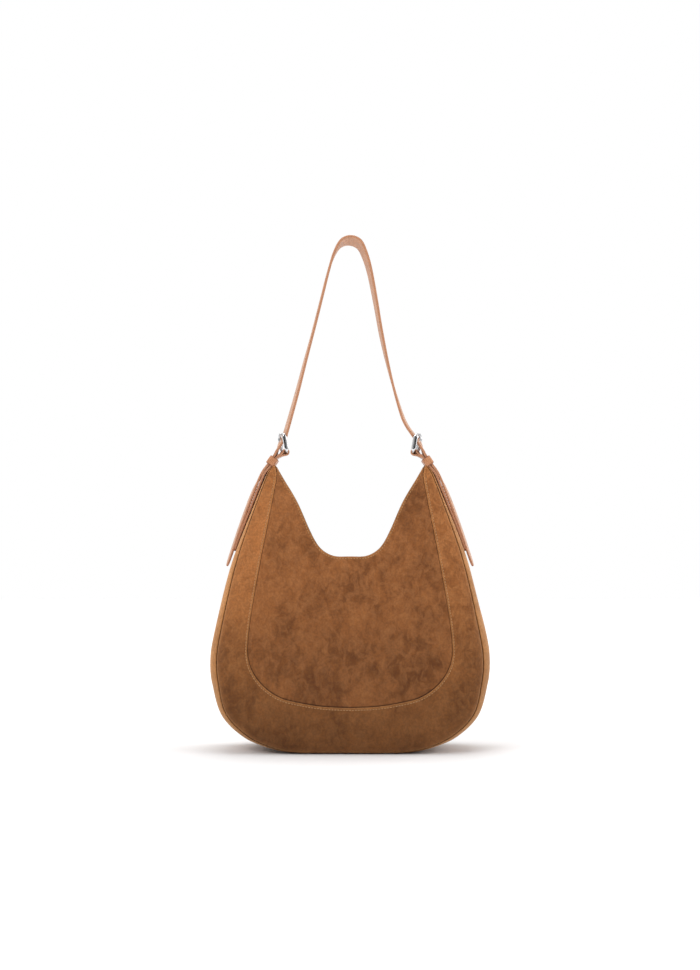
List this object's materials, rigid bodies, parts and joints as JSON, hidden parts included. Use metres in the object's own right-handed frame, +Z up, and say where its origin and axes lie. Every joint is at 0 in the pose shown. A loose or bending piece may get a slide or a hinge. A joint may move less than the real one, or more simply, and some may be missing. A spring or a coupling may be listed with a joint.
{
  "type": "hobo bag",
  "caption": "Soft suede hobo shoulder bag with a curved open mouth, panelled front and back, gusset, leather shoulder strap on buckles.",
  "frame": {"origin": "on the ground under the middle of the base", "axes": "+Z up, front faces -Y, +X to the right seen from the front"},
  "size_m": [0.3516, 0.1292, 0.6559],
  "materials": {
    "suede": "brushed tan-brown suede with light and dark nap",
    "suede_facing": "tan-brown suede facing",
    "lining": "plain woven cotton lining",
    "strap_leather": "smooth vegetable-tanned leather with a soft gloss",
    "polished_steel": "polished nickel-plated steel",
    "zip_tape": "herringbone zip tape",
    "board": "stiff fibreboard base"
  },
  "bodies": {
    "root": {"front_centre_panel": "suede", "front_band": "suede", "back_centre_panel": "suede", "back_band": "suede", "left_gusset": "suede", "right_gusset": "suede", "front_facing": "suede_facing", "back_facing": "suede_facing", "front_lining": "lining", "back_lining": "lining", "gusset_lining": "lining", "zip_pouch": "lining", "left_tab": "strap_leather", "right_tab": "strap_leather", "left_tail": "strap_leather", "right_tail": "strap_leather", "snap_socket": "polished_steel", "snap_stud": "polished_steel", "zip_teeth": "polished_steel", "zip_tape": "zip_tape", "base_board": "board"},
    "strap": {"strap": "strap_leather", "left_tab_loop": "strap_leather", "right_tab_loop": "strap_leather"},
    "left_buckle": {"left_buckle_frame": "polished_steel"},
    "right_buckle": {"right_buckle_frame": "polished_steel"},
    "left_prong": {"left_prong": "polished_steel"},
    "right_prong": {"right_prong": "polished_steel"},
    "left_keeper": {"left_keeper": "strap_leather"},
    "right_keeper": {"right_keeper": "strap_leather"},
    "zip_slider": {"zip_slider": "polished_steel"},
    "zip_pull": {"zip_pull": "strap_leather"}
  },
  "joints": [
    {"name": "strap_swing", "type": "hinge", "parent": "root", "child": "strap", "pos_m": [0, 0, 0.3765], "axis": [1, 0, 0], "range_deg": [-90, 90]},
    {"name": "left_buckle_tilt", "type": "hinge", "parent": "strap", "child": "left_buckle", "pos_m": [-0.0837, 0, 0.3765], "axis": [0.225, -0.9744, 0], "range_deg": [0, 5]},
    {"name": "left_prong_lift", "type": "hinge", "parent": "left_buckle", "child": "left_prong", "pos_m": [-0.0837, 0, 0.3765], "axis": [0.225, -0.9744, 0], "range_deg": [0, 6]},
    {"name": "right_buckle_tilt", "type": "hinge", "parent": "strap", "child": "right_buckle", "pos_m": [0.0837, 0, 0.3765], "axis": [0.225, 0.9744, 0], "range_deg": [0, 5]},
    {"name": "right_prong_lift", "type": "hinge", "parent": "right_buckle", "child": "right_prong", "pos_m": [0.0837, 0, 0.3765], "axis": [0.225, 0.9744, 0], "range_deg": [0, 6]},
    {"name": "left_keeper_slide", "type": "slide", "parent": "root", "child": "left_keeper", "axis": [0.5664, 0, 0.8241], "range_m": [0, 0.002]},
    {"name": "right_keeper_slide", "type": "slide", "parent": "root", "child": "right_keeper", "axis": [-0.5664, 0, 0.8241], "range_m": [0, 0.002]},
    {"name": "zip_slide", "type": "slide", "parent": "root", "child": "zip_slider", "axis": [1, 0, 0], "range_m": [0, 0.104]},
    {"name": "zip_pull_swing", "type": "hinge", "parent": "zip_slider", "child": "zip_pull", "pos_m": [-0.052, 0.01187, 0.19226], "axis": [-1, 0, 0], "range_deg": [-8, 100]}
  ]
}
